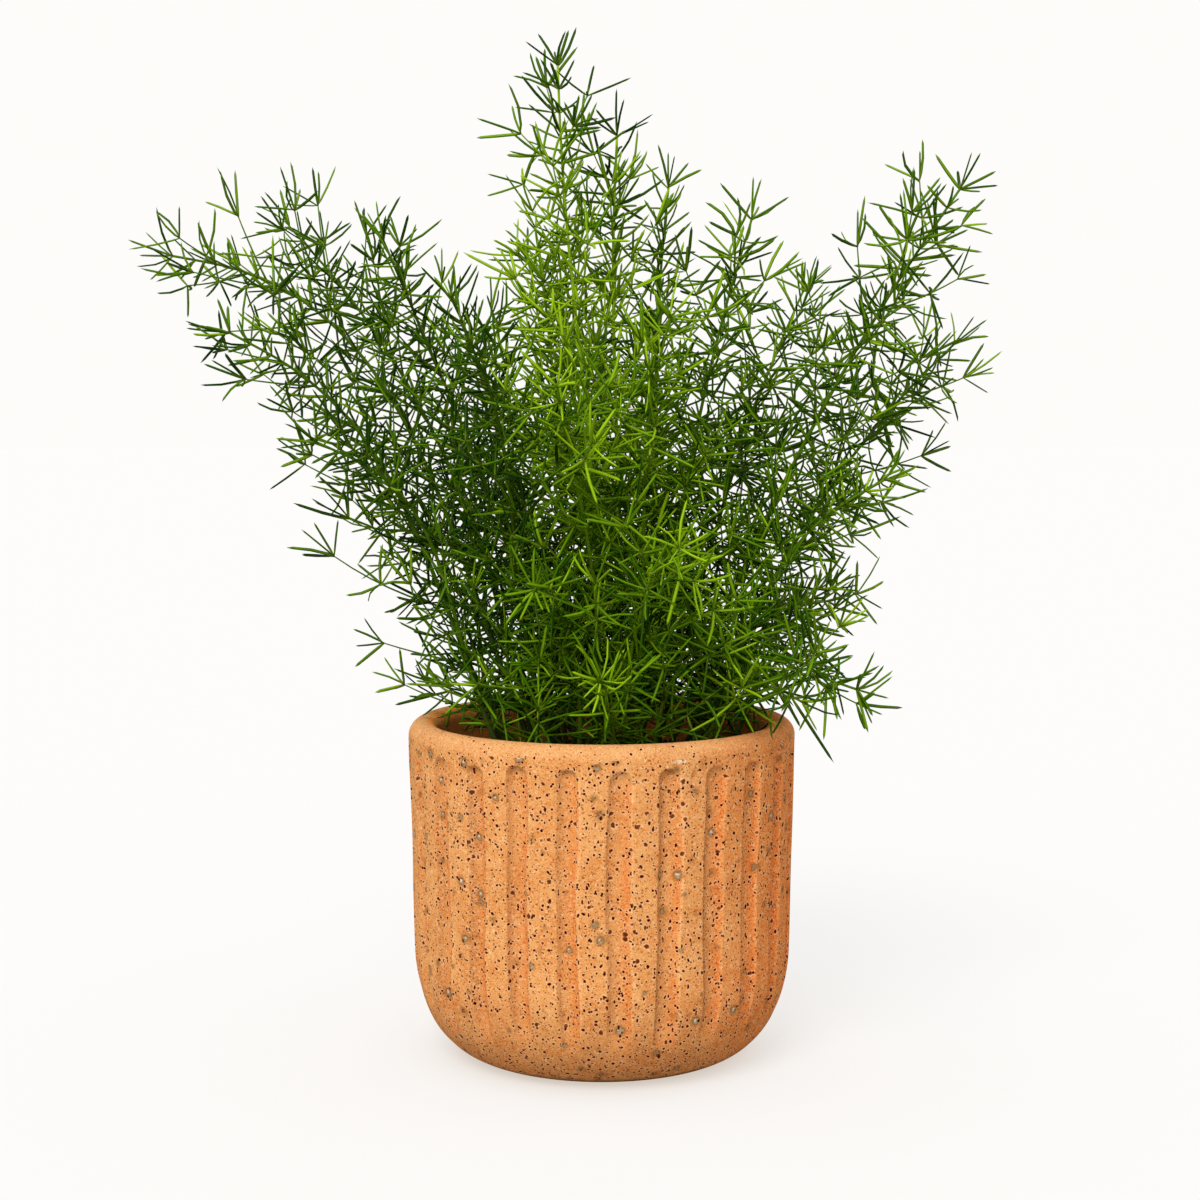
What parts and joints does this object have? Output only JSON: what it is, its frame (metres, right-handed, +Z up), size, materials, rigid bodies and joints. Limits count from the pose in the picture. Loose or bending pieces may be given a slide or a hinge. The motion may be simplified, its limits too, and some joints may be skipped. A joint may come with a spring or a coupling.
{
  "type": "potted sprengeri fern",
  "caption": "Bushy asparagus fern with fine needle-like foliage, standing in soil in a fluted, speckled terracotta pot.",
  "frame": {"origin": "middle of the pot's flat underside, on the surface it stands on", "axes": "+Z up along the pot's axis, -Y towards the side that the picture shows, +X to that side's right"},
  "size_m": [0.3481, 0.2259, 0.4119],
  "materials": {
    "terracotta": "unglazed speckled terracotta, matte",
    "soil": "moist peaty potting soil, crumbly",
    "foliage": "mid green, waxy, slightly glossy",
    "young_foliage": "light yellow-green, waxy, slightly glossy"
  },
  "bodies": {
    "root": {"pot": "terracotta", "potting_soil": "soil", "leafy_stem_left_1": "foliage", "leafy_stem_left_2": "foliage", "leafy_stem_left_3": "foliage", "leafy_stem_left_4": "foliage", "leafy_stem_left_5": "foliage", "leafy_stem_left_6": "foliage", "leafy_stem_left_7": "foliage", "leafy_stem_left_8": "foliage", "leafy_stem_middle_1": "young_foliage", "leafy_stem_middle_2": "young_foliage", "leafy_stem_middle_3": "young_foliage", "leafy_stem_middle_4": "foliage", "leafy_stem_middle_5": "foliage", "leafy_stem_right_1": "foliage", "leafy_stem_right_2": "foliage", "leafy_stem_right_3": "foliage", "leafy_stem_right_4": "foliage", "leafy_stem_right_5": "foliage", "leafy_stem_right_6": "foliage", "leafy_stem_front_1": "foliage", "leafy_stem_front_2": "foliage", "leafy_stem_front_3": "foliage", "leafy_stem_front_4": "foliage", "leafy_stem_front_5": "foliage", "leafy_stem_front_6": "foliage", "leafy_stem_front_7": "foliage", "leafy_stem_back_1": "foliage", "leafy_stem_back_2": "foliage", "leafy_stem_back_3": "foliage", "leafy_stem_back_4": "foliage", "leafy_stem_back_5": "foliage", "leafy_stem_back_6": "foliage"}
  },
  "joints": []
}
